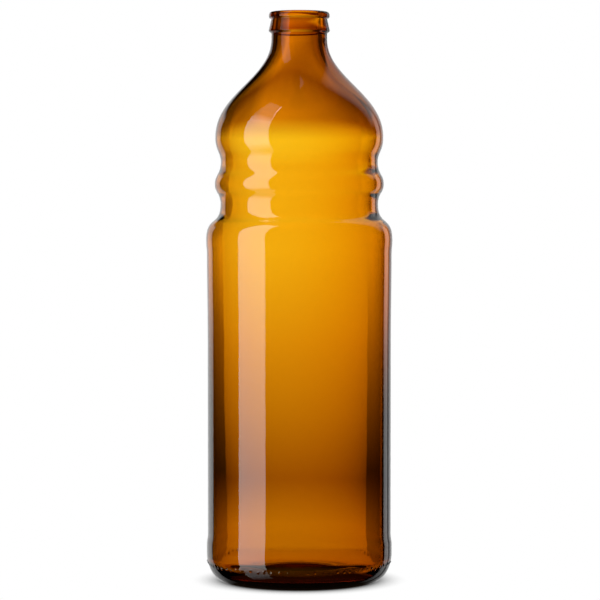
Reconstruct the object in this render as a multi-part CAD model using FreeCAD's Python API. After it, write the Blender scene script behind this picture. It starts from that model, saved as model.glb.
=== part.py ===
"""Empty glass oil bottle, one blown solid of revolution, in millimetres.

It stands on z = 0 about the Z axis. From the foot upwards it has a bearing ring round a
shallow punt, a rounded heel, a foot band, a long label panel, an upper band, two waists with
a bulge between them, a full shoulder bulge, a sloping shoulder, a short neck, a flared collar
and a rounded lip. The outside and the cavity are outlines in (radius, height), made of
straight runs, rounded corners and curves that leave and arrive upright.
"""
import FreeCAD, Part
import math
import os

# Overall sizes. The label panel takes up any change of height.
overall_height = 265.0
panel_diameter = 85.5

# Foot: bearing ring, punt, heel and foot band, upwards from z = 0.
ring_outer_diameter = 69.6
ring_width = 2.6
punt_depth = 3.4
heel_height = 13.1
foot_band_proud = 0.5
foot_band_height = 3.0
foot_step_height = 6.0

# Body top, downwards from the second waist. The band and the panel's top stand proud of it.
upper_band_proud = 0.65
band_height = 16.35
band_step_height = 7.2
panel_top_proud = 0.3
panel_taper_height = 38.4

# Bulges and waists: how far each lies inside the panel's radius, and its height.
shoulder_bulge_inset = 3.65
first_waist_inset = 6.2
second_bulge_inset = 3.4
second_waist_inset = 6.05
first_waist_height = 11.3
second_bulge_height = 10.6
second_waist_height = 9.4

# Finish, neck and shoulder, downwards from the top. Lip and collar stand proud of the neck,
# and the groove between them has the neck's diameter.
neck_diameter = 25.9
neck_length = 2.6
lip_proud = 1.15
lip_height = 2.9
groove_height = 0.3
collar_proud = 1.35
collar_height = 5.8
collar_underside_height = 1.0
mouth_narrowing = 0.2
shoulder_height = 45.6

# Corner radii.
lip_outer_round = 1.5
lip_inner_round = 0.8
lip_lower_round = 0.7
groove_round = 0.3
collar_round = 0.6
collar_root_round = 0.4

# Glass thickness. At the mouth the lip is thicker by the narrowing of the bore.
neck_wall = 3.4
side_wall = 2.85
foot_wall = 3.3
floor_thickness = 4.4
floor_edge_height = 4.9
floor_corner_height = 7.1
floor_corner_width = 6.55

# Where the side leans, the cavity is lowered by this share of what an even wall would need.
wall_follow = 0.41

# How long each curve stays upright at its upper and lower end, as shares of its own height.
shoulder_ease = (0.40, 0.45)
first_waist_ease = (0.55, 0.36)
second_bulge_ease = (0.57, 0.46)
second_waist_ease = (0.44, 0.60)
band_ease = (0.60, 0.68)
step_ease = (0.54, 0.58)
taper_ease = (0.33, 0.33)
foot_step_ease = (0.45, 0.50)

# Two facts of a four-pole curve: the reach that turns it a quarter, and how much of a move of
# its two middle poles its middle point follows.
QUARTER_TURN = 0.5523
MIDDLE_POLES_SHARE = 0.75


# ---------------------------------------------------------------- outline pieces

def point(radius, height):
    return FreeCAD.Vector(radius, 0.0, height)


def run(start, end):
    """A straight edge, or nothing where its ends meet."""
    if start.distanceToPoint(end) < 1e-6:
        return []
    return [Part.makeLine(start, end)]


def curve(poles):
    bezier = Part.BezierCurve()
    bezier.setPoles(poles)
    return [bezier.toShape()]


def swell(upper, lower, ease):
    """Poles of a curve between two points that is upright at both."""
    drop = upper.z - lower.z
    return [upper,
            point(upper.x, upper.z - ease[0] * drop),
            point(lower.x, lower.z + ease[1] * drop),
            lower]


def inner_swell(poles, ease, upper_wall, lower_wall):
    """The cavity's side of a swell. It lies one wall inside, measured level, and a little
    lower where the outside leans, so that light comes through the wall nearly straight."""
    upper, lower = poles[0], poles[3]
    drop = upper.z - lower.z
    lean = math.atan2(2.0 * (lower.x - upper.x), drop * (2.0 - ease[0] - ease[1]))
    mean_wall = (upper_wall + lower_wall) / 2.0
    lowered = wall_follow * mean_wall * math.tan(lean / 2.0) / MIDDLE_POLES_SHARE
    return [point(upper.x - upper_wall, upper.z),
            point(upper.x - upper_wall, poles[1].z - lowered),
            point(lower.x - lower_wall, poles[2].z - lowered),
            point(lower.x - lower_wall, lower.z)]


def rounded_run(corners):
    """Edges through (radius, height, round) corners, each round limited by its two legs."""
    places = [point(radius, height) for radius, height, _ in corners]
    edges = []
    reached = places[0]
    for i in range(1, len(corners) - 1):
        back = places[i - 1].sub(places[i])
        ahead = places[i + 1].sub(places[i])
        half_angle = back.getAngle(ahead) / 2.0
        room = 0.49 * min(back.Length, ahead.Length)
        cut = min(corners[i][2] / math.tan(half_angle), room)
        radius = cut * math.tan(half_angle)
        back.normalize()
        ahead.normalize()
        start = places[i].add(FreeCAD.Vector(back).multiply(cut))
        end = places[i].add(FreeCAD.Vector(ahead).multiply(cut))
        middle_way = back.add(ahead).normalize()
        middle = places[i].add(middle_way.multiply(radius / math.sin(half_angle) - radius))
        edges += run(reached, start)
        edges.append(Part.Arc(start, middle, end).toShape())
        reached = end
    edges += run(reached, places[-1])
    return edges


# ---------------------------------------------------------------- places along the outside

def body_stations():
    """Upright points of the outside, from the neck's foot down to the heel."""
    panel_radius = panel_diameter / 2.0
    finish_height = (lip_height + groove_height + collar_height
                     + collar_underside_height)
    neck_foot = overall_height - finish_height - neck_length
    shoulder_foot = neck_foot - shoulder_height
    first_waist = shoulder_foot - first_waist_height
    second_bulge = first_waist - second_bulge_height
    second_waist = second_bulge - second_waist_height
    band = second_waist - band_height
    panel_top = band - band_step_height
    foot_band_top = heel_height + foot_band_height
    return {
        "neck": point(neck_diameter / 2.0, neck_foot),
        "shoulder": point(panel_radius - shoulder_bulge_inset, shoulder_foot),
        "first_waist": point(panel_radius - first_waist_inset, first_waist),
        "second_bulge": point(panel_radius - second_bulge_inset, second_bulge),
        "second_waist": point(panel_radius - second_waist_inset, second_waist),
        "band": point(panel_radius + upper_band_proud, band),
        "panel_top": point(panel_radius + panel_top_proud, panel_top),
        "panel": point(panel_radius, panel_top - panel_taper_height),
        "panel_foot": point(panel_radius, foot_band_top + foot_step_height),
        "foot_band": point(panel_radius + foot_band_proud, foot_band_top),
        "heel": point(panel_radius + foot_band_proud, heel_height),
    }


def stretches(at):
    """Each curve above the panel, downwards: its ends, its ease and the walls at its ends."""
    return [
        (at["neck"], at["shoulder"], shoulder_ease, neck_wall, side_wall),
        (at["shoulder"], at["first_waist"], first_waist_ease, side_wall, side_wall),
        (at["first_waist"], at["second_bulge"], second_bulge_ease, side_wall, side_wall),
        (at["second_bulge"], at["second_waist"], second_waist_ease, side_wall, side_wall),
        (at["second_waist"], at["band"], band_ease, side_wall, side_wall),
        (at["band"], at["panel_top"], step_ease, side_wall, side_wall),
        (at["panel_top"], at["panel"], taper_ease, side_wall, side_wall),
    ]


# ---------------------------------------------------------------- outlines

def foot_edges(at):
    """From the punt's crown out over the bearing ring and up round the heel."""
    ring_outer = ring_outer_diameter / 2.0
    ring_inner = ring_outer - ring_width
    heel = at["heel"]
    punt = [point(0.0, punt_depth),
            point(ring_inner * 0.5, punt_depth),
            point(ring_inner * 0.85, punt_depth),
            point(ring_inner, 0.0)]
    turn = [point(ring_outer, 0.0),
            point(ring_outer + QUARTER_TURN * (heel.x - ring_outer), 0.0),
            point(heel.x, heel.z - QUARTER_TURN * heel.z),
            heel]
    return curve(punt) + run(punt[-1], turn[0]) + curve(turn)


def outer_edges(at):
    """From the heel up to the neck's foot."""
    step = swell(at["panel_foot"], at["foot_band"], foot_step_ease)
    edges = run(at["heel"], at["foot_band"])
    edges += curve(step)
    edges += run(at["panel_foot"], at["panel"])
    for upper, lower, ease, _, _ in reversed(stretches(at)):
        edges += curve(swell(upper, lower, ease))
    return edges


def finish_edges(at):
    """From the neck's foot up over the collar and the lip to the mouth's bore."""
    neck = at["neck"]
    bore = neck.x - neck_wall
    lip_foot = overall_height - lip_height
    groove = lip_foot - groove_height
    collar = groove - collar_height
    collar_foot = collar - collar_underside_height
    return rounded_run([
        (neck.x, neck.z, 0.0),
        (neck.x, collar_foot, collar_root_round),
        (neck.x + collar_proud, collar, collar_round),
        (neck.x, groove, groove_round),
        (neck.x + lip_proud, lip_foot, lip_lower_round),
        (neck.x + lip_proud, overall_height, lip_outer_round),
        (bore - mouth_narrowing, overall_height, lip_inner_round),
        (bore, neck.z, 0.0),
    ])


def cavity_edges(at):
    """From the bore's foot down the inside to the middle of the floor."""
    edges = []
    for upper, lower, ease, upper_wall, lower_wall in stretches(at):
        inner = inner_swell(swell(upper, lower, ease), ease, upper_wall, lower_wall)
        edges += curve(inner)
    step = inner_swell(swell(at["panel_foot"], at["foot_band"], foot_step_ease),
                       foot_step_ease, foot_wall, foot_wall)
    wall_foot = point(step[-1].x, floor_edge_height + floor_corner_height)
    floor_edge = point(wall_foot.x - floor_corner_width, floor_edge_height)
    floor_middle = point(0.0, punt_depth + floor_thickness)
    corner = [wall_foot,
              point(wall_foot.x, wall_foot.z - QUARTER_TURN * floor_corner_height),
              point(floor_edge.x + QUARTER_TURN * floor_corner_width, floor_edge.z),
              floor_edge]
    floor = [floor_edge,
             point(floor_edge.x * 0.75, floor_edge.z),
             point(floor_edge.x * 0.45, floor_middle.z),
             floor_middle]
    edges += run(inner[-1], step[0]) + curve(step) + run(step[-1], wall_foot)
    return edges + curve(corner) + curve(floor)


# ---------------------------------------------------------------- the bottle

def make_bottle():
    at = body_stations()
    edges = foot_edges(at) + outer_edges(at) + finish_edges(at) + cavity_edges(at)
    crown = point(0.0, punt_depth)
    floor_middle = point(0.0, punt_depth + floor_thickness)
    edges += run(floor_middle, crown)
    section = Part.Face(Part.Wire(Part.__sortEdges__(edges)))
    return section.revolve(FreeCAD.Vector(0, 0, 0), FreeCAD.Vector(0, 0, 1), 360.0)


os.makedirs("parts", exist_ok=True)
bottle = make_bottle()
bottle.exportStep("parts/bottle.step")
box = bottle.BoundBox
print("bottle valid:", bottle.isValid(), "solids:", len(bottle.Solids))
print("box, mm: %.2f x %.2f x %.2f" % (box.XLength, box.YLength, box.ZLength))
print("glass, cm3: %.1f" % (bottle.Volume / 1000.0))
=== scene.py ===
# %% [markdown]
# # An empty amber oil bottle
# A blown glass bottle is one skin of glass between two smooth surfaces. What the eye reads is
# hardly its surface at all: it is the light behind it, bent by the wall and coloured by the
# way through it. So this lesson spends its care on the wall's true thickness, on a glass that
# colours by depth, and on a studio with something worth looking at behind the bottle.
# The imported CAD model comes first. It says where everything is, and nothing here moves it.

# %% load the fixed frame
import math
from random import Random
import bmesh
import bpy
from mathutils import Matrix, Vector, noise


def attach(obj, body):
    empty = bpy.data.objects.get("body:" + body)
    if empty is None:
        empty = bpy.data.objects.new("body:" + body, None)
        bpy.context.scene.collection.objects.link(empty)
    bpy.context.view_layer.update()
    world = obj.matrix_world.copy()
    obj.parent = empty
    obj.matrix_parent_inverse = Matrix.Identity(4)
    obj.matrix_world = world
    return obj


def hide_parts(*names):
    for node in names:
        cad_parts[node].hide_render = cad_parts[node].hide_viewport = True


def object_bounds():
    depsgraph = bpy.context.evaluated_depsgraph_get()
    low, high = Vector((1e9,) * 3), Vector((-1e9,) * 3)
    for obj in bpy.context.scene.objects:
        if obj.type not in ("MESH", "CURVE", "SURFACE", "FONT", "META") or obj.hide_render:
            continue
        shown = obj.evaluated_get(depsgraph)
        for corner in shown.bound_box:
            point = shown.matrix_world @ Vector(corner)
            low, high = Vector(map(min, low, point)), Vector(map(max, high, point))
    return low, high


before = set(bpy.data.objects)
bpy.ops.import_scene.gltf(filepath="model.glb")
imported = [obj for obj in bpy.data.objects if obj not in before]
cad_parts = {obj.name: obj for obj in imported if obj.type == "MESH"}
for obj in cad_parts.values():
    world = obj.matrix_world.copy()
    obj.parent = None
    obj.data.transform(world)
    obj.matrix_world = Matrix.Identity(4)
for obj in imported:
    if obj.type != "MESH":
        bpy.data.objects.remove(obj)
cad_low, cad_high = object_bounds()
print("CAD box, mm:", [round(1000 * (b - a), 1) for a, b in zip(cad_low, cad_high)])

# %% [markdown]
# ## Camera
# A portrait of a bottle is taken from far off with a long lens, so that its sides stay
# upright and its foot shows only a shallow curve. A lens near the bottle would spread the
# shoulders and show too much of the floor. The camera stands a little above the middle and
# looks down by two degrees.

# %% camera
camera_distance = 1.211
camera_height = 0.1767
aim_height = 0.1310
aside = 0.00033
lens = 155.8

camera_data = bpy.data.cameras.new("portrait_camera")
camera_data.lens = lens
camera_data.sensor_width = 36.0
camera_data.clip_start = 0.05
camera_data.clip_end = 20.0
camera = bpy.data.objects.new("portrait_camera", camera_data)
bpy.context.collection.objects.link(camera)
camera.location = (aside, -camera_distance, camera_height)
line_of_sight = Vector((aside, 0.0, aim_height)) - camera.location
camera.rotation_euler = line_of_sight.to_track_quat("-Z", "Y").to_euler()
bpy.context.scene.camera = camera
looks_down = math.degrees(math.atan2(camera_height - aim_height, camera_distance))
print("camera looks down by, degrees:", round(looks_down, 2))

# %% [markdown]
# ## The bottle's outline
# The real bottle is blown into a mould, so its outside is a turned shape. Its inside follows
# the outside at the distance of the wall, only softer. Both could be cut from a cylinder with
# modifiers, but a turned shape is best drawn as half a section and spun.
# The section's curves are Bezier stretches whose ends stand upright, as a glass mould's do.
# Sizes are in millimetres, and one number, MM, turns them into metres. Heights are taken from
# the table at the foot and from the CAD box's top above it. Widths follow the box's widest
# part, which is the band above the label panel. A place is its radius and its height.

# %% sizes of the outside, in millimetres
MM = 0.001
top = round(cad_high[2] / MM, 2)
widest = round(cad_high[0] / MM, 2)
panel_radius = widest - 0.65
neck_radius = 12.95

neck = (neck_radius, top - 12.6)
shoulder = (panel_radius - 3.65, top - 58.2)
first_waist = (panel_radius - 6.2, top - 69.5)
second_bulge = (panel_radius - 3.4, top - 80.1)
second_waist = (panel_radius - 6.05, top - 89.5)
band = (widest, top - 105.85)
panel_top = (panel_radius + 0.3, top - 113.05)
panel = (panel_radius, top - 151.45)
panel_foot = (panel_radius, 22.1)
foot_band = (panel_radius + 0.5, 16.1)
heel = (panel_radius + 0.5, 13.1)
ring_outer = 34.8
ring_inner = 32.2
punt_depth = 3.4
print("height and greatest radius, mm:", top, widest)

# %% sizes of the finish and the inside, in millimetres
neck_wall = 3.4
side_wall = 2.85
foot_wall = 3.3
bore_radius = neck_radius - neck_wall
mouth_radius = bore_radius - 0.2
lip_radius = neck_radius + 1.15
collar_radius = neck_radius + 1.35
corner_top = 12.0
floor_edge = (33.4, 4.9)
floor_middle = 7.8

# Where the side leans, the cavity is lowered by this share of what an even wall would need.
wall_follow = 0.41
# Two facts of a four-pole curve: the reach that turns it a quarter, and how much of a move of
# its two middle poles its middle point follows.
QUARTER_TURN = 0.5523
MIDDLE_POLES_SHARE = 0.75

# Each swell of the side: upper end, lower end, how long it stays upright at either end as a
# share of its height, the wall at either end, and how many rings it gets.
swells = [
    (neck, shoulder, 0.40, 0.45, neck_wall, side_wall, 28),
    (shoulder, first_waist, 0.55, 0.36, side_wall, side_wall, 13),
    (first_waist, second_bulge, 0.57, 0.46, side_wall, side_wall, 13),
    (second_bulge, second_waist, 0.44, 0.60, side_wall, side_wall, 13),
    (second_waist, band, 0.60, 0.68, side_wall, side_wall, 20),
    (band, panel_top, 0.54, 0.58, side_wall, side_wall, 5),
    (panel_top, panel, 0.33, 0.33, side_wall, side_wall, 6),
    (panel_foot, foot_band, 0.45, 0.50, foot_wall, foot_wall, 8),
]
print("swells down the side:", len(swells))

# %% [markdown]
# ## Drawing the half section
# Each stretch of the outline is its own short Bezier spline on one curve object, so each has
# the number of rings it needs: many round a bulge, few along the straight panel. The curve is
# turned into a mesh line, and lines that meet are merged into one.

# %% a curve that holds the outline
outline = bpy.data.curves.new("half_section", "CURVE")
outline.dimensions = "3D"


def place(spot):
    """A (radius, height) spot in millimetres as a place in the plane of the section."""
    return Vector((spot[0] * MM, 0.0, spot[1] * MM))


def stretch(line, start, start_handle, end_handle, end, rings):
    """One Bezier stretch of the outline, drawn in that many steps."""
    spline = line.splines.new("BEZIER")
    spline.bezier_points.add(1)
    spline.resolution_u = rings
    first, last = spline.bezier_points
    for knot, spot, before, after in (
        (first, start, start, start_handle),
        (last, end, end_handle, end),
    ):
        knot.handle_left_type = "FREE"
        knot.handle_right_type = "FREE"
        knot.co = place(spot)
        knot.handle_left = place(before)
        knot.handle_right = place(after)


def straight(line, start, end, rings):
    """A straight stretch."""
    third = [a + (b - a) / 3 for a, b in zip(start, end)]
    two_thirds = [a + (b - a) * 2 / 3 for a, b in zip(start, end)]
    stretch(line, start, third, two_thirds, end, rings)


# %% the outside: punt, bearing ring, heel, foot band and side
crown = (0.0, punt_depth)
crown_leave = (ring_inner * 0.5, punt_depth)
ring_arrive = (ring_inner * 0.85, punt_depth)
ring_inside = (ring_inner, 0.0)
ring_outside = (ring_outer, 0.0)
turn_out = (ring_outer + QUARTER_TURN * (heel[0] - ring_outer), 0.0)
turn_up = (heel[0], heel[1] * (1 - QUARTER_TURN))
stretch(outline, crown, crown_leave, ring_arrive, ring_inside, 14)
straight(outline, ring_inside, ring_outside, 4)
stretch(outline, ring_outside, turn_out, turn_up, heel, 16)
straight(outline, heel, foot_band, 2)
straight(outline, panel_foot, panel, 8)

for upper, lower, leave, arrive, wall_above, wall_below, rings in swells:
    drop = upper[1] - lower[1]
    out_leave = (upper[0], upper[1] - leave * drop)
    out_arrive = (lower[0], lower[1] + arrive * drop)
    stretch(outline, upper, out_leave, out_arrive, lower, rings)
print("stretches outside:", len(outline.splines))

# %% [markdown]
# The cavity's side follows the outside at an even distance measured level, and where the side
# leans it lies a little lower. Lowered by this much, light that comes in level goes out level
# again, so the rings look calm from the front, as they do in a well blown bottle.

# %% the inside: side, floor corner and floor
cavity = bpy.data.curves.new("half_cavity", "CURVE")
cavity.dimensions = "3D"

for upper, lower, leave, arrive, wall_above, wall_below, rings in swells:
    drop = upper[1] - lower[1]
    lean = math.atan2(2 * (lower[0] - upper[0]), drop * (2 - leave - arrive))
    mean_wall = (wall_above + wall_below) / 2
    lowered = wall_follow * mean_wall * math.tan(lean / 2) / MIDDLE_POLES_SHARE
    in_upper = (upper[0] - wall_above, upper[1])
    in_lower = (lower[0] - wall_below, lower[1])
    in_leave = (in_upper[0], upper[1] - leave * drop - lowered)
    in_arrive = (in_lower[0], lower[1] + arrive * drop - lowered)
    stretch(cavity, in_upper, in_leave, in_arrive, in_lower, rings)

inner_top = (panel[0] - side_wall, panel[1])
inner_foot = (panel_foot[0] - foot_wall, panel_foot[1])
inner_band = (foot_band[0] - foot_wall, foot_band[1])
corner_start = (inner_band[0], corner_top)
corner_down = (inner_band[0], corner_top - QUARTER_TURN * (corner_top - floor_edge[1]))
corner_out = (floor_edge[0] + QUARTER_TURN * (inner_band[0] - floor_edge[0]), floor_edge[1])
floor_leave = (floor_edge[0] * 0.75, floor_edge[1])
floor_arrive = (floor_edge[0] * 0.45, floor_middle)
straight(cavity, inner_top, inner_foot, 8)
straight(cavity, inner_band, corner_start, 2)
stretch(cavity, corner_start, corner_down, corner_out, floor_edge, 14)
stretch(cavity, floor_edge, floor_leave, floor_arrive, (0.0, floor_middle), 12)
print("stretches inside:", len(cavity.splines))

# %% the two lines as one bmesh, the inner one marked
glass = bmesh.new()
inside = glass.verts.layers.float.new("inside")


def lay_line(curve_data, mark):
    """Adds a curve's line to the glass section and marks its points."""
    holder = bpy.data.objects.new(curve_data.name, curve_data)
    line = bpy.data.meshes.new_from_object(holder)
    known = len(glass.verts)
    glass.from_mesh(line)
    glass.verts.ensure_lookup_table()
    for vert in glass.verts[known:]:
        vert[inside] = mark
    bpy.data.objects.remove(holder)
    bpy.data.curves.remove(curve_data)
    bpy.data.meshes.remove(line)


lay_line(outline, 0.0)
lay_line(cavity, 1.0)
print("points in the section:", len(glass.verts))

# %% [markdown]
# ## Lip and collar
# The finish is the only part of a bottle made to a gauge. A press shapes it before the body
# is blown, so it has real corners, each with its own small round. It starts as a line of
# eight points, and a vertex bevel rounds the six between its ends.

# %% the finish
# Radius, height and round of each point, from the neck's foot outside to the bore's foot.
finish_corners = [
    (neck_radius, neck[1], 0.0),
    (neck_radius, top - 10.0, 0.4),
    (collar_radius, top - 9.0, 0.6),
    (neck_radius, top - 3.2, 0.3),
    (lip_radius, top - 2.9, 0.7),
    (lip_radius, top, 1.5),
    (mouth_radius, top, 0.8),
    (bore_radius, neck[1], 0.0),
]
corner_verts = [glass.verts.new(place(corner)) for corner in finish_corners]
for one, other in zip(corner_verts, corner_verts[1:]):
    glass.edges.new((one, other))

for i in range(1, len(finish_corners) - 1):
    here = corner_verts[i].co.copy()
    back = place(finish_corners[i - 1]) - here
    ahead = place(finish_corners[i + 1]) - here
    half_angle = back.angle(ahead) / 2
    room = 0.49 * min(back.length, ahead.length)
    cut = min(finish_corners[i][2] * MM / math.tan(half_angle), room)
    bmesh.ops.bevel(
        glass,
        geom=[corner_verts[i]],
        offset=cut,
        offset_type="OFFSET",
        segments=5,
        profile=0.5,
        affect="VERTICES",
        material=-1,
    )
print("points in the finish and the section:", len(glass.verts))

# %% join the lines and divide the finish's long edges
longest_edge = 2.5
merge_gap = 0.01
bmesh.ops.remove_doubles(glass, verts=glass.verts[:], dist=merge_gap * MM)
long_edges = [
    e for e in glass.edges
    if e.calc_length() > longest_edge * MM and e.verts[0].co.z > (neck[1] - 0.4) * MM
]
bmesh.ops.subdivide_edges(glass, edges=long_edges, cuts=2)
print("points in the whole section:", len(glass.verts), "edges:", len(glass.edges))

# %% [markdown]
# ## Spinning the glass
# One full turn in 264 steps makes the body. The first and last rings are merged, the two
# poles are closed, and the normals are recalculated, because the volume of the glass only
# works on a skin that knows its outside from its inside.

# %% spin
steps_round = 264
bmesh.ops.spin(
    glass,
    geom=glass.verts[:] + glass.edges[:],
    cent=(0, 0, 0),
    axis=(0, 0, 1),
    angle=math.tau,
    steps=steps_round,
    use_merge=True,
)
bmesh.ops.remove_doubles(glass, verts=glass.verts[:], dist=merge_gap * MM / 2)
bmesh.ops.recalc_face_normals(glass, faces=glass.faces[:])
open_edges = [e for e in glass.edges if len(e.link_faces) != 2]
print("faces:", len(glass.faces), "open edges:", len(open_edges))
print("glass, cm3:", round(glass.calc_volume() * 1e6, 1))

# %% [markdown]
# ## What blowing does to the inside
# The mould makes the outside true, but nothing touches the inside. The glass there is a
# little thicker on one side than on the other, and has slow ripples. Both show at once, as
# edges of unequal width and as lights that waver, so both are in the mesh.

# %% uneven wall
# How far the cavity lies off the axis at each height, both in millimetres.
lean_stops = [
    (12.0, 0.47),
    (150.0, 0.65),
    (238.0, 0.65),
    (252.0, 0.45),
    (258.0, 0.45),
    (top, 0.0),
]


def leaning(height):
    """The cavity's lean at a height: straight between the stops, steady below the first."""
    if height <= lean_stops[0][0]:
        return lean_stops[0][1]
    for (low, lean_low), (high, lean_high) in zip(lean_stops, lean_stops[1:]):
        if height < high:
            return lean_low + (lean_high - lean_low) * (height - low) / (high - low)
    return lean_stops[-1][1]


print("lean at foot, panel and neck, mm:", [round(leaning(h), 2) for h in (5.0, 100.0, 250.0)])

# %% slow ripples
ripple_length = 30.0
ripple_height = 70.0
ripple_depth = 0.05
# The ripples fade out over these heights, towards the foot and towards the neck.
fade_foot = (14.0, 26.0)
fade_neck = (205.0, 235.0)


def rising(value, start, end):
    """0 before the start, 1 after the end and straight between them."""
    return min(max((value - start) / (end - start), 0.0), 1.0)


moved = 0
for vert in glass.verts:
    height = vert.co.z / MM
    in_bore = height > neck[1] - 0.1 and vert.co.xy.length < (bore_radius + 0.05) * MM
    if vert[inside] < 0.5 and not in_bore:
        continue
    vert.co.x -= leaning(height) * MM
    across, up = ripple_length * MM, ripple_height * MM
    ripple = noise.noise(Vector((vert.co.x / across, vert.co.y / across, vert.co.z / up)))
    settle = (1.0 - rising(height, *fade_neck)) * rising(height, *fade_foot)
    outward = Vector((vert.co.x, vert.co.y, 0.0)).normalized()
    vert.co += outward * ripple * settle * ripple_depth * MM
    moved += 1
print("points of the cavity moved:", moved)

# %% [markdown]
# ## Stipple round the heel
# A ring of small beads is cut into the mould just above the foot, so that the hot bottle
# stands on dots and not on its polished skin. They are modelled, because they show as tiny
# lenses. Only the band they stand on is subdivided, and its points are pushed out near each
# bead. Beads are cut by hand, so they differ a little in place and size.

# %% the beads' band
heel_inside = 40.8
band_faces = [
    f for f in glass.faces
    if 6.8 < f.calc_center_median().z / MM < 10.6
    and f.calc_center_median().xy.length > heel_inside * MM
]
band_edges = list({e for f in band_faces for e in f.edges})
bmesh.ops.subdivide_edges(glass, edges=band_edges, cuts=2, use_grid_fill=True)
print("faces on the beads' band:", len(band_faces))

# %% stipple
bead_height = 8.7
bead_reach = 0.85
bead_rise = 0.60
bead_circle = 42.6
toolmaker = Random(7)

beads = []
bead_turn = 0.0
while bead_turn < math.tau - 0.05:
    bead_middle = bead_height + toolmaker.uniform(-0.5, 0.4)
    bead_size = toolmaker.uniform(0.6, 1.0)
    beads.append((bead_turn, bead_middle, bead_size))
    bead_turn += toolmaker.uniform(2.7, 4.1) / bead_circle

for vert in glass.verts:
    height = vert.co.z / MM
    if vert.co.xy.length / MM < heel_inside or not 7.0 < height < 10.4:
        continue
    turn = math.atan2(vert.co.y, vert.co.x) % math.tau
    for bead_turn, bead_middle, bead_size in beads:
        away = math.hypot((turn - bead_turn) * bead_circle, height - bead_middle)
        out_from_middle = away / (bead_reach * bead_size)
        if out_from_middle < 1.0:
            push = bead_rise * bead_size * math.cos(out_from_middle * math.pi / 2) ** 2
            outward = Vector((vert.co.x, vert.co.y, -0.006)).normalized()
            vert.co += outward * push * MM
print("beads:", len(beads))

# %% the bottle as an object
for face in glass.faces:
    face.smooth = True
glass.verts.layers.float.remove(inside)
bottle_mesh = bpy.data.meshes.new("blown_bottle")
glass.to_mesh(bottle_mesh)
glass.free()
bottle = bpy.data.objects.new("blown_bottle", bottle_mesh)
bpy.context.collection.objects.link(bottle)
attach(bottle, "root")
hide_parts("bottle")
triangles = sum(len(p.vertices) - 2 for p in bottle_mesh.polygons)
print("triangles in the bottle:", triangles)

# %% [markdown]
# ## Materials
# Two small helpers: one turns a hex colour as written in a paint list into the linear numbers
# a shader wants, and one adds a node with its settings and its links.

# %% helpers
def linear(hex_colour):
    """An sRGB hex colour as linear red, green, blue and 1."""
    shares = [int(hex_colour[i:i + 2], 16) / 255 for i in (1, 3, 5)]
    return [c / 12.92 if c <= 0.04045 else ((c + 0.055) / 1.055) ** 2.4 for c in shares] + [1.0]


def add(tree, kind, settings=None, **inputs):
    """A node of that kind. Settings are its properties, inputs are values or other sockets."""
    node = tree.nodes.new(kind)
    for name, value in (settings or {}).items():
        setattr(node, name, value)
    for name, value in inputs.items():
        key = int(name[1:]) if name[0] == "i" and name[1:].isdigit() else name.replace("_", " ")
        socket = node.inputs[key]
        if isinstance(value, bpy.types.NodeSocket):
            tree.links.new(value, socket)
        else:
            socket.default_value = value
    return node


print("white in linear light:", linear("#FFFFFF"))

# %% [markdown]
# ## Amber container glass
# Brown bottle glass is soda-lime glass coloured through with iron and sulphur. It swallows
# blue at once and green slowly, so a thin wall is gold and a thick foot is nearly black. A
# coloured surface can't do that. The surface here is clear and smooth, with the index of
# soda-lime glass, and the colour is in the volume, as absorption by depth.
# A blown and fire-polished skin still has faint ripples, a few millimetres across and far too
# shallow to measure. They come from noise in object coordinates as a bump.

# %% amber glass
amber = bpy.data.materials.new("amber_container_glass_blown")
amber.use_nodes = True
tree = amber.node_tree
tree.nodes.clear()
coordinates = add(tree, "ShaderNodeTexCoord")
stretched = add(
    tree, "ShaderNodeMapping",
    Vector=coordinates.outputs["Object"], Scale=(1.0, 1.0, 0.4),
)
ripples = add(
    tree, "ShaderNodeTexNoise",
    Vector=stretched.outputs["Vector"], Scale=110.0, Detail=2.0, Roughness=0.4,
)
skin = add(
    tree, "ShaderNodeBump",
    Strength=0.05, Distance=0.0004, Height=ripples.outputs["Fac"],
)
handling = add(
    tree, "ShaderNodeTexNoise",
    Vector=coordinates.outputs["Object"], Scale=60.0, Detail=4.0,
)
polish = add(
    tree, "ShaderNodeMapRange",
    Value=handling.outputs["Fac"], From_Min=0.3, From_Max=0.7, To_Min=0.0, To_Max=0.02,
)
surface = add(
    tree, "ShaderNodeBsdfPrincipled",
    Base_Color=(1.0, 1.0, 1.0, 1.0),
    Roughness=polish.outputs["Result"],
    IOR=1.52,
    Transmission_Weight=1.0,
    Normal=skin.outputs["Normal"],
)
depth_colour = add(
    tree, "ShaderNodeVolumeAbsorption",
    Color=linear("#F9E600"),
    Density=950.0,
)
amber_out = add(
    tree, "ShaderNodeOutputMaterial",
    Surface=surface.outputs[0], Volume=depth_colour.outputs[0],
)
bottle.data.materials.append(amber)
print("amber glass nodes:", len(tree.nodes))

# %% [markdown]
# ## Floor
# A white sweep under the bottle. Seen directly it is white, darker only where the bottle
# stands close and keeps the light off, which ambient occlusion measures. Rays that come
# through or off the glass pass the floor and find what is behind it, except under the foot,
# where a real bottle stands in its own shade. That shade is a dark spot, set 16 mm towards
# the front, where the foot shows it.

# %% the floor's mesh
floor_shape = bmesh.new()
bmesh.ops.create_circle(floor_shape, cap_ends=True, segments=96, radius=0.60)
bmesh.ops.recalc_face_normals(floor_shape, faces=floor_shape.faces[:])
floor_mesh = bpy.data.meshes.new("white_sweep")
floor_shape.to_mesh(floor_mesh)
floor_shape.free()
floor = bpy.data.objects.new("white_sweep", floor_mesh)
bpy.context.collection.objects.link(floor)
floor.location.z = -0.00005
print("floor across, m:", round(floor.dimensions.x, 2))

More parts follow.
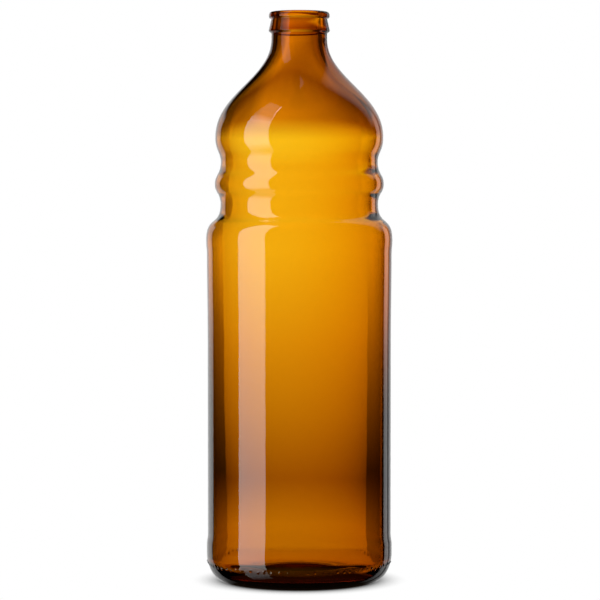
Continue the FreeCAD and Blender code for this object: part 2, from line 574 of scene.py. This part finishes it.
# %% white board
sweep = bpy.data.materials.new("white_sweep_board")
sweep.use_nodes = True
tree = sweep.node_tree
tree.nodes.clear()
near = add(tree, "ShaderNodeAmbientOcclusion", {"samples": 16}, Distance=0.018)
shade = add(tree, "ShaderNodeValToRGB", Fac=near.outputs["AO"])
shade.color_ramp.elements[0].position = 0.0
shade.color_ramp.elements[0].color = (0.05, 0.05, 0.05, 1.0)
shade.color_ramp.elements[1].position = 0.72
shade.color_ramp.elements[1].color = (1.0, 1.0, 1.0, 1.0)
shown = add(tree, "ShaderNodeEmission", Color=shade.outputs["Color"], Strength=1.0)
board = add(tree, "ShaderNodeBsdfDiffuse", Color=linear("#E8E8E8"))
print("floor nodes so far:", len(tree.nodes))

# %% the foot's shade, for rays that met the glass
where = add(tree, "ShaderNodeTexCoord")
towards_front = add(
    tree, "ShaderNodeVectorMath", {"operation": "ADD"},
    i0=where.outputs["Object"], i1=(0.0, 0.016, 0.0),
)
from_spot = add(
    tree, "ShaderNodeVectorMath", {"operation": "LENGTH"},
    i0=towards_front.outputs[0],
)
past_spot = add(
    tree, "ShaderNodeMapRange",
    Value=from_spot.outputs["Value"], From_Min=0.031, From_Max=0.037,
)
spot_dark = add(tree, "ShaderNodeEmission", Color=linear("#271C12"), Strength=1.0)
clear = add(tree, "ShaderNodeBsdfTransparent")
under_foot = add(
    tree, "ShaderNodeMixShader",
    i0=past_spot.outputs["Result"], i1=spot_dark.outputs[0], i2=clear.outputs[0],
)
floor_rays = add(tree, "ShaderNodeLightPath")
met_glass = add(
    tree, "ShaderNodeMath", {"operation": "MAXIMUM"},
    i0=floor_rays.outputs["Is Glossy Ray"], i1=floor_rays.outputs["Is Transmission Ray"],
)
board_or_shade = add(
    tree, "ShaderNodeMixShader",
    i0=met_glass.outputs[0], i1=board.outputs[0], i2=under_foot.outputs[0],
)
all_rays = add(
    tree, "ShaderNodeMixShader",
    i0=floor_rays.outputs["Is Camera Ray"], i1=board_or_shade.outputs[0], i2=shown.outputs[0],
)
sweep_out = add(tree, "ShaderNodeOutputMaterial", Surface=all_rays.outputs[0])
floor.data.materials.append(sweep)
print("floor nodes:", len(tree.nodes))

# %% [markdown]
# ## Light tent
# Amber glass needs a light behind it. The bottle stands in a round tent of cloth that is lit
# from outside. A tall bright panel stands straight behind the bottle, with dimmer cloth on
# either side, and its brightness changes with height: brightest behind the shoulder bulge,
# dim near the table and dark behind the neck. A narrower panel stands every 45 degrees
# round, so that the glass has some light from whichever side it is seen.
# The tent is a staged light. Only light that has come through the glass finds it. The
# camera, the floor and the outer skin's own reflections pass it by. The panel, the cloth's
# two sides and the shares below are set for the bottle's front.

# %% the tent's cloth
tent_radius = 0.20
tent_foot = -150.0
tent_top = 450.0
tent_shape = bmesh.new()
bmesh.ops.create_cone(
    tent_shape,
    cap_ends=False,
    segments=128,
    radius1=tent_radius,
    radius2=tent_radius,
    depth=(tent_top - tent_foot) * MM,
    matrix=Matrix.Translation((0.0, 0.0, (tent_top + tent_foot) / 2 * MM)),
)
tent_mesh = bpy.data.meshes.new("light_tent")
tent_shape.to_mesh(tent_mesh)
tent_shape.free()
tent = bpy.data.objects.new("light_tent", tent_mesh)
bpy.context.collection.objects.link(tent)
tent.visible_camera = False
tent.visible_diffuse = False
tent.visible_shadow = False
print("tent across and high, m:", round(tent.dimensions.x, 2), round(tent.dimensions.z, 2))

# %% places on the cloth
cloth = bpy.data.materials.new("tent_cloth_lit_from_outside")
cloth.use_nodes = True
tree = cloth.node_tree
tree.nodes.clear()
cloth_place = add(tree, "ShaderNodeTexCoord")
on_cloth = add(tree, "ShaderNodeSeparateXYZ", Vector=cloth_place.outputs["Object"])
cloth_height = on_cloth.outputs["Z"]
cloth_bearing = add(
    tree, "ShaderNodeMath", {"operation": "ARCTAN2"},
    i0=on_cloth.outputs["X"], i1=on_cloth.outputs["Y"],
)
cloth_rays = add(tree, "ShaderNodeLightPath")
# Folded light is light that was also reflected on its way through the glass: 1 for that.
folded = add(
    tree, "ShaderNodeMath", {"operation": "GREATER_THAN"},
    i0=cloth_rays.outputs["Glossy Depth"], i1=0.5,
)
print("cloth nodes so far:", len(tree.nodes))

# %% brightness by height
# Height above the table in millimetres, then red, green and blue.
panel_light = [
    (tent_foot, 0.9, 0.8, 0.7),
    (-30.0, 0.6, 0.4, 0.3),
    (0.0, 0.8, 0.6, 0.3),
    (25.0, 0.5, 0.3, 0.2),
    (60.0, 0.8, 0.6, 0.3),
    (100.0, 1.1, 0.9, 0.5),
    (150.0, 1.4, 1.4, 1.0),
    (195.0, 1.4, 1.4, 1.0),
    (210.0, 1.5, 1.8, 2.0),
    (225.0, 0.9, 0.6, 0.2),
    (250.0, 0.4, 0.2, 0.1),
    (265.0, 0.9, 0.6, 0.2),
    (tent_top, 0.5, 0.3, 0.1),
]
# The cloth left and right of the panel, as a share of the panel's light at that height.
left_share = [
    (tent_foot, 0.6, 0.5, 0.4),
    (0.0, 0.5, 0.4, 0.3),
    (30.0, 0.1, 0.1, 0.1),
    (110.0, 0.4, 0.3, 0.2),
    (150.0, 0.8, 0.6, 0.4),
    (180.0, 0.4, 0.3, 0.2),
    (205.0, 0.8, 0.6, 0.4),
    (230.0, 0.3, 0.3, 0.2),
    (tent_top, 0.3, 0.3, 0.2),
]
right_share = [
    (tent_foot, 0.6, 0.6, 0.5),
    (0.0, 0.4, 0.4, 0.3),
    (30.0, 0.1, 0.1, 0.1),
    (60.0, 0.3, 0.3, 0.2),
    (150.0, 0.9, 0.9, 0.7),
    (210.0, 1.0, 1.1, 1.0),
    (225.0, 0.5, 0.5, 0.3),
    (tent_top, 0.5, 0.4, 0.3),
]
# How much the panel dies down towards its own edges.
edge_loss = [
    (tent_foot, 0.0),
    (0.0, 0.1),
    (25.0, 0.6),
    (60.0, 0.3),
    (110.0, 0.1),
    (tent_top, 0.1),
]


def fill_ramp(node, rows):
    """Sets a colour ramp's stops from rows of a place and its colour or its grey."""
    first, last = rows[0][0], rows[-1][0]
    stops = node.color_ramp.elements
    for spot, *colour in rows[1:-1]:
        stops.new((spot - first) / (last - first))
    for stop, (spot, *colour) in zip(stops, rows):
        stop.color = (colour * 3 if len(colour) == 1 else colour) + [1.0]


print("stops:", [len(rows) for rows in (panel_light, left_share, right_share, edge_loss)])

# %% four ramps over the cloth's height
# Folded light is given the brightness found no higher than this, in metres, so that the
# dark head takes nothing from it.
folded_highest = 0.222
no_higher = add(
    tree, "ShaderNodeMath", {"operation": "MINIMUM"},
    i0=cloth_height, i1=folded_highest,
)
height_seen = add(
    tree, "ShaderNodeMix", {"data_type": "FLOAT"},
    i0=folded.outputs[0], i2=cloth_height, i3=no_higher.outputs[0],
)
up_the_cloth = add(
    tree, "ShaderNodeMapRange",
    Value=height_seen.outputs[0], From_Min=tent_foot * MM, From_Max=tent_top * MM,
)
panel_ramp = add(tree, "ShaderNodeValToRGB", Fac=up_the_cloth.outputs["Result"])
left_cloth = add(tree, "ShaderNodeValToRGB", Fac=up_the_cloth.outputs["Result"])
right_cloth = add(tree, "ShaderNodeValToRGB", Fac=up_the_cloth.outputs["Result"])
edge_ramp = add(tree, "ShaderNodeValToRGB", Fac=up_the_cloth.outputs["Result"])
fill_ramp(panel_ramp, panel_light)
fill_ramp(left_cloth, left_share)
fill_ramp(right_cloth, right_share)
fill_ramp(edge_ramp, edge_loss)
print("cloth nodes so far:", len(tree.nodes))

# %% the panel and its repeats, by bearing round the tent
half_repeat = math.radians(22.5)
panel_centre = math.radians(0.65)
panel_half_width = math.radians(16.9)
repeat_half_width = math.radians(12.0)
edge_width = math.radians(0.5)
from_panel = add(
    tree, "ShaderNodeMath", {"operation": "SUBTRACT"},
    i0=cloth_bearing.outputs[0], i1=panel_centre,
)
from_nearest = add(
    tree, "ShaderNodeMath", {"operation": "WRAP"},
    i0=from_panel.outputs[0], i1=half_repeat, i2=-half_repeat,
)
# Folded light knows only the panel straight behind.
from_seen = add(
    tree, "ShaderNodeMix", {"data_type": "FLOAT"},
    i0=folded.outputs[0], i2=from_nearest.outputs[0], i3=from_panel.outputs[0],
)
off_seen = add(tree, "ShaderNodeMath", {"operation": "ABSOLUTE"}, i0=from_seen.outputs[0])
off_panel = add(tree, "ShaderNodeMath", {"operation": "ABSOLUTE"}, i0=from_panel.outputs[0])
at_repeat = add(
    tree, "ShaderNodeMath", {"operation": "GREATER_THAN"},
    i0=off_panel.outputs[0], i1=half_repeat,
)
half_width = add(
    tree, "ShaderNodeMix", {"data_type": "FLOAT"},
    i0=at_repeat.outputs[0], i2=panel_half_width, i3=repeat_half_width,
)
past_edge = add(
    tree, "ShaderNodeMath", {"operation": "SUBTRACT"},
    i0=off_seen.outputs[0], i1=half_width.outputs[0],
)
on_panel = add(
    tree, "ShaderNodeMapRange",
    Value=past_edge.outputs[0], From_Min=0.0, From_Max=edge_width, To_Min=1.0, To_Max=0.0,
)
print("cloth nodes so far:", len(tree.nodes))

# %% light across the panel
# -1 at the panel's left edge, 1 at its right edge. It dies down with the square of that.
across_panel = add(
    tree, "ShaderNodeMath", {"operation": "DIVIDE"},
    i0=from_seen.outputs[0], i1=half_width.outputs[0],
)
square = add(
    tree, "ShaderNodeMath", {"operation": "MULTIPLY"},
    i0=across_panel.outputs[0], i1=across_panel.outputs[0],
)
lost = add(
    tree, "ShaderNodeMath", {"operation": "MULTIPLY"},
    i0=square.outputs[0], i1=edge_ramp.outputs[0],
)
body_kept = add(tree, "ShaderNodeMath", {"operation": "SUBTRACT"}, i0=1.0, i1=lost.outputs[0])
to_left = add(
    tree, "ShaderNodeMapRange",
    Value=across_panel.outputs[0], From_Min=-0.45, From_Max=-1.0,
)
warmth = add(
    tree, "ShaderNodeMix", {"data_type": "RGBA"},
    i0=to_left.outputs["Result"], i6=(1.0, 1.0, 1.0, 1.0), i7=(0.95, 0.82, 0.70, 1.0),
)
print("cloth nodes so far:", len(tree.nodes))

# %% light across the panel's head
# Behind shoulder and neck the panel has a brighter strip left of its middle: the place across
# it, then the brightness.
head_light = [
    (-1.0, 0.45),
    (-0.6, 0.8),
    (-0.4, 1.3),
    (0.0, 1.0),
    (1.0, 0.45),
]
over_head = add(
    tree, "ShaderNodeMapRange",
    Value=across_panel.outputs[0], From_Min=-1.0, From_Max=1.0,
)
head_ramp = add(tree, "ShaderNodeValToRGB", Fac=over_head.outputs["Result"])
fill_ramp(head_ramp, head_light)
in_head = add(tree, "ShaderNodeMapRange", Value=cloth_height, From_Min=0.218, From_Max=0.227)
repeat_head = add(
    tree, "ShaderNodeMapRange",
    Value=at_repeat.outputs[0], To_Min=1.0, To_Max=0.45,
)
head_kept = add(
    tree, "ShaderNodeMath", {"operation": "MULTIPLY"},
    i0=head_ramp.outputs[0], i1=repeat_head.outputs["Result"],
)
kept = add(
    tree, "ShaderNodeMix", {"data_type": "FLOAT"},
    i0=in_head.outputs["Result"], i2=body_kept.outputs[0], i3=head_kept.outputs[0],
)
panel_share = add(
    tree, "ShaderNodeVectorMath", {"operation": "SCALE"},
    i0=warmth.outputs[2], Scale=kept.outputs[0],
)
print("stops across the head:", len(head_light))

# %% the cloth beside the panel
# Folded light sees this cloth right round the bottle, and it dies down towards the front.
to_right = add(
    tree, "ShaderNodeMath", {"operation": "GREATER_THAN"},
    i0=from_panel.outputs[0], i1=0.0,
)
side_cloth = add(
    tree, "ShaderNodeMix", {"data_type": "RGBA"},
    i0=to_right.outputs[0], i6=left_cloth.outputs[0], i7=right_cloth.outputs[0],
)
to_front = add(
    tree, "ShaderNodeMapRange",
    Value=off_seen.outputs[0], From_Min=math.radians(72.0), From_Max=math.radians(85.0),
    To_Min=1.0, To_Max=0.2,
)
beside = add(
    tree, "ShaderNodeVectorMath", {"operation": "SCALE"},
    i0=side_cloth.outputs[2], Scale=to_front.outputs["Result"],
)
share = add(
    tree, "ShaderNodeMix", {"data_type": "RGBA"},
    i0=on_panel.outputs["Result"], i6=beside.outputs[0], i7=panel_share.outputs[0],
)
print("cloth nodes so far:", len(tree.nodes))

# %% [markdown]
# Folded light mostly comes out at the bottle's rims, and it comes from far round the tent. At
# full strength it would draw orange lines down both sides, where a real bottle shows dark
# ones. So it finds the cloth only in a band beside the panel, less of it near the table and
# over the neck, with more on the right of the shoulder's slope.

# %% where folded light finds the cloth, by bearing
band_inner = add(
    tree, "ShaderNodeMapRange",
    Value=off_seen.outputs[0], From_Min=math.radians(28.0), From_Max=math.radians(35.0),
    To_Min=0.15, To_Max=0.9,
)
band_outer = add(
    tree, "ShaderNodeMapRange",
    Value=off_seen.outputs[0], From_Min=math.radians(46.0), From_Max=math.radians(52.0),
    To_Min=1.0, To_Max=0.12,
)
in_band = add(
    tree, "ShaderNodeMath", {"operation": "MULTIPLY"},
    i0=band_inner.outputs["Result"], i1=band_outer.outputs["Result"],
)
slope_light = add(
    tree, "ShaderNodeMapRange",
    Value=cloth_height, From_Min=0.195, From_Max=0.215, To_Min=0.0, To_Max=0.6,
)
right_slope = add(
    tree, "ShaderNodeMath", {"operation": "MULTIPLY"},
    i0=slope_light.outputs["Result"], i1=to_right.outputs[0],
)
folded_round = add(
    tree, "ShaderNodeMath", {"operation": "MAXIMUM"},
    i0=right_slope.outputs[0], i1=in_band.outputs[0],
)
print("cloth nodes so far:", len(tree.nodes))

# %% where folded light finds the cloth, by height
over_table = add(
    tree, "ShaderNodeMapRange",
    Value=cloth_height, From_Min=0.060, From_Max=0.120, To_Min=0.12, To_Max=1.0,
)
under_lip = add(
    tree, "ShaderNodeMapRange",
    Value=cloth_height, From_Min=0.250, From_Max=0.264, To_Min=1.0, To_Max=0.12,
)
over_lip = add(
    tree, "ShaderNodeMapRange",
    Value=cloth_height, From_Min=0.265, From_Max=0.275, To_Min=0.0, To_Max=1.2,
)
near_panel = add(
    tree, "ShaderNodeMapRange",
    Value=from_panel.outputs[0], From_Min=math.radians(33.0), From_Max=math.radians(38.0),
    To_Min=1.0, To_Max=0.0,
)
over_lip_right = add(
    tree, "ShaderNodeMath", {"operation": "MULTIPLY"},
    i0=over_lip.outputs["Result"], i1=to_right.outputs[0],
)
over_lip_near = add(
    tree, "ShaderNodeMath", {"operation": "MULTIPLY"},
    i0=over_lip_right.outputs[0], i1=near_panel.outputs["Result"],
)
at_head = add(
    tree, "ShaderNodeMath", {"operation": "MAXIMUM"},
    i0=under_lip.outputs["Result"], i1=over_lip_near.outputs[0],
)
folded_up = add(
    tree, "ShaderNodeMath", {"operation": "MULTIPLY"},
    i0=over_table.outputs["Result"], i1=at_head.outputs[0],
)
print("cloth nodes so far:", len(tree.nodes))

# %% the cloth's glow
# Below the table folded light is let in again, since it lights the foot from underneath.
above_table = add(
    tree, "ShaderNodeMath", {"operation": "MULTIPLY"},
    i0=folded_up.outputs[0], i1=folded_round.outputs[0],
)
below_table = add(
    tree, "ShaderNodeMapRange",
    Value=cloth_height, From_Min=-0.035, From_Max=-0.015, To_Min=0.9, To_Max=0.0,
)
folded_share = add(
    tree, "ShaderNodeMath", {"operation": "MAXIMUM"},
    i0=above_table.outputs[0], i1=below_table.outputs["Result"],
)
strength = add(
    tree, "ShaderNodeMix", {"data_type": "FLOAT"},
    i0=folded.outputs[0], i2=1.0, i3=folded_share.outputs[0],
)
glow_colour = add(
    tree, "ShaderNodeMix", {"data_type": "RGBA", "blend_type": "MULTIPLY"},
    i0=1.0, i6=panel_ramp.outputs[0], i7=share.outputs[2],
)
glow = add(
    tree, "ShaderNodeEmission",
    Color=glow_colour.outputs[2], Strength=strength.outputs[0],
)
open_way = add(tree, "ShaderNodeBsdfTransparent")
came_through = add(
    tree, "ShaderNodeMath", {"operation": "GREATER_THAN"},
    i0=cloth_rays.outputs["Transmission Depth"], i1=0.5,
)
cloth_side = add(
    tree, "ShaderNodeMixShader",
    i0=came_through.outputs[0], i1=open_way.outputs[0], i2=glow.outputs[0],
)
cloth_out = add(tree, "ShaderNodeOutputMaterial", Surface=cloth_side.outputs[0])
tent.data.materials.append(cloth)
print("cloth nodes:", len(tree.nodes))

# %% [markdown]
# ## Studio
# Round the tent is the studio. The outer skin mirrors the room in front, which is dark, and
# at its rims the white wall behind. Light that leaves the glass over the tent's rim or under
# its hem finds a dim ceiling and a paler floor. Directly the backdrop is plain white.

# %% backdrop
world = bpy.data.worlds.new("studio")
bpy.context.scene.world = world
world.use_nodes = True
tree = world.node_tree
tree.nodes.clear()
direction = add(tree, "ShaderNodeTexCoord")
towards_sky = add(tree, "ShaderNodeSeparateXYZ", Vector=direction.outputs["Generated"])
rise = add(tree, "ShaderNodeMath", {"operation": "ARCSINE"}, i0=towards_sky.outputs["Z"])
bearing = add(
    tree, "ShaderNodeMath", {"operation": "ARCTAN2"},
    i0=towards_sky.outputs["X"], i1=towards_sky.outputs["Y"],
)
above = add(
    tree, "ShaderNodeMapRange",
    Value=rise.outputs[0], From_Min=math.radians(-10.0), From_Max=math.radians(10.0),
)
past_tent = add(
    tree, "ShaderNodeMix", {"data_type": "RGBA"},
    i0=above.outputs["Result"], i6=(0.80, 0.62, 0.50, 1.0), i7=(0.40, 0.24, 0.12, 1.0),
)
print("studio nodes so far:", len(tree.nodes))

# %% the white wall that the outer skin mirrors
# Bearing in degrees, then brightness: white wall behind, a gap and a narrow white board to
# the right of it, and the dark room everywhere else.
white_wall = [
    (-50.0, 0.0),
    (-43.0, 0.0),
    (-40.0, 0.85),
    (0.0, 0.75),
    (26.0, 0.55),
    (28.0, 0.18),
    (33.0, 0.18),
    (36.0, 0.80),
    (46.0, 0.70),
    (48.5, 0.0),
    (50.0, 0.0),
]
round_wall = add(
    tree, "ShaderNodeMapRange",
    Value=bearing.outputs[0],
    From_Min=math.radians(white_wall[0][0]), From_Max=math.radians(white_wall[-1][0]),
)
wall = add(tree, "ShaderNodeValToRGB", Fac=round_wall.outputs["Result"])
fill_ramp(wall, white_wall)
print("stops round the wall:", len(white_wall))

# %% how high the wall stands
# It is higher on the right than on the left, and darker below its hem.
turn_from, turn_to = math.radians(-5.0), math.radians(5.0)
wall_full = add(
    tree, "ShaderNodeMapRange",
    Value=bearing.outputs[0], From_Min=turn_from, From_Max=turn_to,
    To_Min=math.radians(15.0), To_Max=math.radians(20.0),
)
wall_top = add(
    tree, "ShaderNodeMapRange",
    Value=bearing.outputs[0], From_Min=turn_from, From_Max=turn_to,
    To_Min=math.radians(19.0), To_Max=math.radians(42.0),
)
below_top = add(
    tree, "ShaderNodeMapRange",
    Value=rise.outputs[0],
    From_Min=wall_full.outputs["Result"], From_Max=wall_top.outputs["Result"],
    To_Min=1.0, To_Max=0.0,
)
above_hem = add(
    tree, "ShaderNodeMapRange",
    Value=rise.outputs[0], From_Min=math.radians(-32.0), From_Max=math.radians(-10.0),
    To_Min=0.30, To_Max=1.0,
)
wall_height = add(
    tree, "ShaderNodeMath", {"operation": "MULTIPLY"},
    i0=below_top.outputs["Result"], i1=above_hem.outputs["Result"],
)
wall_seen = add(
    tree, "ShaderNodeMath", {"operation": "MULTIPLY"},
    i0=wall.outputs[0], i1=wall_height.outputs[0],
)
print("studio nodes so far:", len(tree.nodes))

# %% a grey board high on the right
board_from = add(
    tree, "ShaderNodeMapRange",
    Value=bearing.outputs[0], From_Min=math.radians(14.0), From_Max=math.radians(20.0),
    To_Min=0.0, To_Max=0.45,
)
board_to = add(
    tree, "ShaderNodeMapRange",
    Value=bearing.outputs[0], From_Min=math.radians(52.0), From_Max=math.radians(62.0),
    To_Min=1.0, To_Max=0.0,
)
board_rise = add(
    tree, "ShaderNodeMapRange",
    Value=rise.outputs[0], From_Min=math.radians(10.0), From_Max=math.radians(18.0),
)
board_width = add(
    tree, "ShaderNodeMath", {"operation": "MULTIPLY"},
    i0=board_from.outputs["Result"], i1=board_to.outputs["Result"],
)
high_board = add(
    tree, "ShaderNodeMath", {"operation": "MULTIPLY"},
    i0=board_width.outputs[0], i1=board_rise.outputs["Result"],
)
mirrored = add(
    tree, "ShaderNodeMath", {"operation": "MAXIMUM"},
    i0=wall_seen.outputs[0], i1=high_board.outputs[0],
)
print("studio nodes so far:", len(tree.nodes))

# %% which rays see what
studio_rays = add(tree, "ShaderNodeLightPath")
reflected = add(
    tree, "ShaderNodeMath", {"operation": "GREATER_THAN"},
    i0=studio_rays.outputs["Glossy Depth"], i1=0.5,
)
passed = add(
    tree, "ShaderNodeMath", {"operation": "GREATER_THAN"},
    i0=studio_rays.outputs["Transmission Depth"], i1=0.5,
)
by_glass = add(
    tree, "ShaderNodeMath", {"operation": "MAXIMUM"},
    i0=reflected.outputs[0], i1=passed.outputs[0],
)
glass_sees = add(
    tree, "ShaderNodeMix", {"data_type": "RGBA"},
    i0=passed.outputs[0], i6=mirrored.outputs[0], i7=past_tent.outputs[2],
)
seen = add(
    tree, "ShaderNodeMix", {"data_type": "RGBA"},
    i0=by_glass.outputs[0], i6=(1.0, 1.0, 1.0, 1.0), i7=glass_sees.outputs[2],
)
backdrop = add(tree, "ShaderNodeBackground", Color=seen.outputs[2], Strength=1.0)
studio_out = add(tree, "ShaderNodeOutputWorld", Surface=backdrop.outputs[0])
print("studio nodes:", len(tree.nodes))

# %% [markdown]
# ## Soft-box
# One tall soft-box stands ahead and to the left. On round glass it becomes the long pale
# stripe that tells the eye how the side swells, so its width and its edges matter more than
# its power. It reaches below the table, since the foot mirrors downwards, and it is dimmer
# down there.

# %% soft-box
softbox_bearing = math.radians(61.0)
softbox_distance = 1.0
softbox_width = 0.69
softbox_height = 3.40
softbox_middle = 0.50
softbox_level = 3.6
softbox_data = bpy.data.lights.new("tall_softbox", "AREA")
softbox_data.use_nodes = True
softbox_data.shape = "RECTANGLE"
softbox_data.size = softbox_width
softbox_data.size_y = softbox_height
softbox_data.energy = softbox_level * math.pi * softbox_width * softbox_height
softbox = bpy.data.objects.new("tall_softbox", softbox_data)
bpy.context.collection.objects.link(softbox)
softbox.location = (
    -softbox_distance * math.sin(softbox_bearing),
    -softbox_distance * math.cos(softbox_bearing),
    softbox_middle,
)
towards = Vector((0.0, 0.0, softbox_middle)) - softbox.location
softbox.rotation_euler = towards.to_track_quat("-Z", "Y").to_euler()
softbox.visible_camera = False
softbox.visible_transmission = False
print("soft-box power, W:", round(softbox_data.energy, 1))

# %% the soft-box's fade
tree = softbox_data.node_tree
tree.nodes.clear()
on_box = add(tree, "ShaderNodeNewGeometry")
box_place = add(tree, "ShaderNodeSeparateXYZ", Vector=on_box.outputs["Parametric"])
fade = add(
    tree, "ShaderNodeMapRange",
    Value=box_place.outputs["Y"], From_Min=0.17, From_Max=0.315, To_Min=0.25, To_Max=1.0,
)
box_glow = add(tree, "ShaderNodeEmission", Strength=fade.outputs["Result"])
box_out = add(tree, "ShaderNodeOutputLight", Surface=box_glow.outputs[0])
print("soft-box nodes:", len(tree.nodes))

# %% a net before the neck
# Neck and collar stand narrow and bright, so a black net keeps most of the soft-box off them.
net_from_axis = 0.060
net_width = 0.070
net_height = 0.140
net_middle = 0.300
net_shape = bmesh.new()
bmesh.ops.create_grid(net_shape, x_segments=1, y_segments=1, size=0.5)
net_mesh = bpy.data.meshes.new("black_net")
net_shape.to_mesh(net_mesh)
net_shape.free()
net = bpy.data.objects.new("black_net", net_mesh)
bpy.context.collection.objects.link(net)
net.scale = (net_width, net_height, 1.0)
net.location = (
    -net_from_axis * math.sin(softbox_bearing),
    -net_from_axis * math.cos(softbox_bearing),
    net_middle,
)
net.rotation_euler = softbox.rotation_euler
net.visible_camera = False
net.visible_transmission = False
net.visible_diffuse = False
net.visible_shadow = False
print("net, mm:", [round(side / MM) for side in (net_width, net_height)])

# %% netting, open at its lower edge and close above it
netting = bpy.data.materials.new("black_net_open_weave")
netting.use_nodes = True
tree = netting.node_tree
tree.nodes.clear()
net_place = add(tree, "ShaderNodeTexCoord")
on_net = add(tree, "ShaderNodeSeparateXYZ", Vector=net_place.outputs["Object"])
opening = add(
    tree, "ShaderNodeMapRange",
    Value=on_net.outputs["Y"], From_Min=-0.50, From_Max=-0.40, To_Min=1.0, To_Max=0.22,
)
weave = add(tree, "ShaderNodeBsdfTransparent", Color=opening.outputs["Result"])
netting_out = add(tree, "ShaderNodeOutputMaterial", Surface=weave.outputs[0])
net.data.materials.append(netting)
print("netting nodes:", len(tree.nodes))

# %% [markdown]
# ## Finish
# The colours are shown as they are. The visual model must stay inside the CAD model's.

# %% finish
bpy.context.scene.view_settings.view_transform = "Standard"
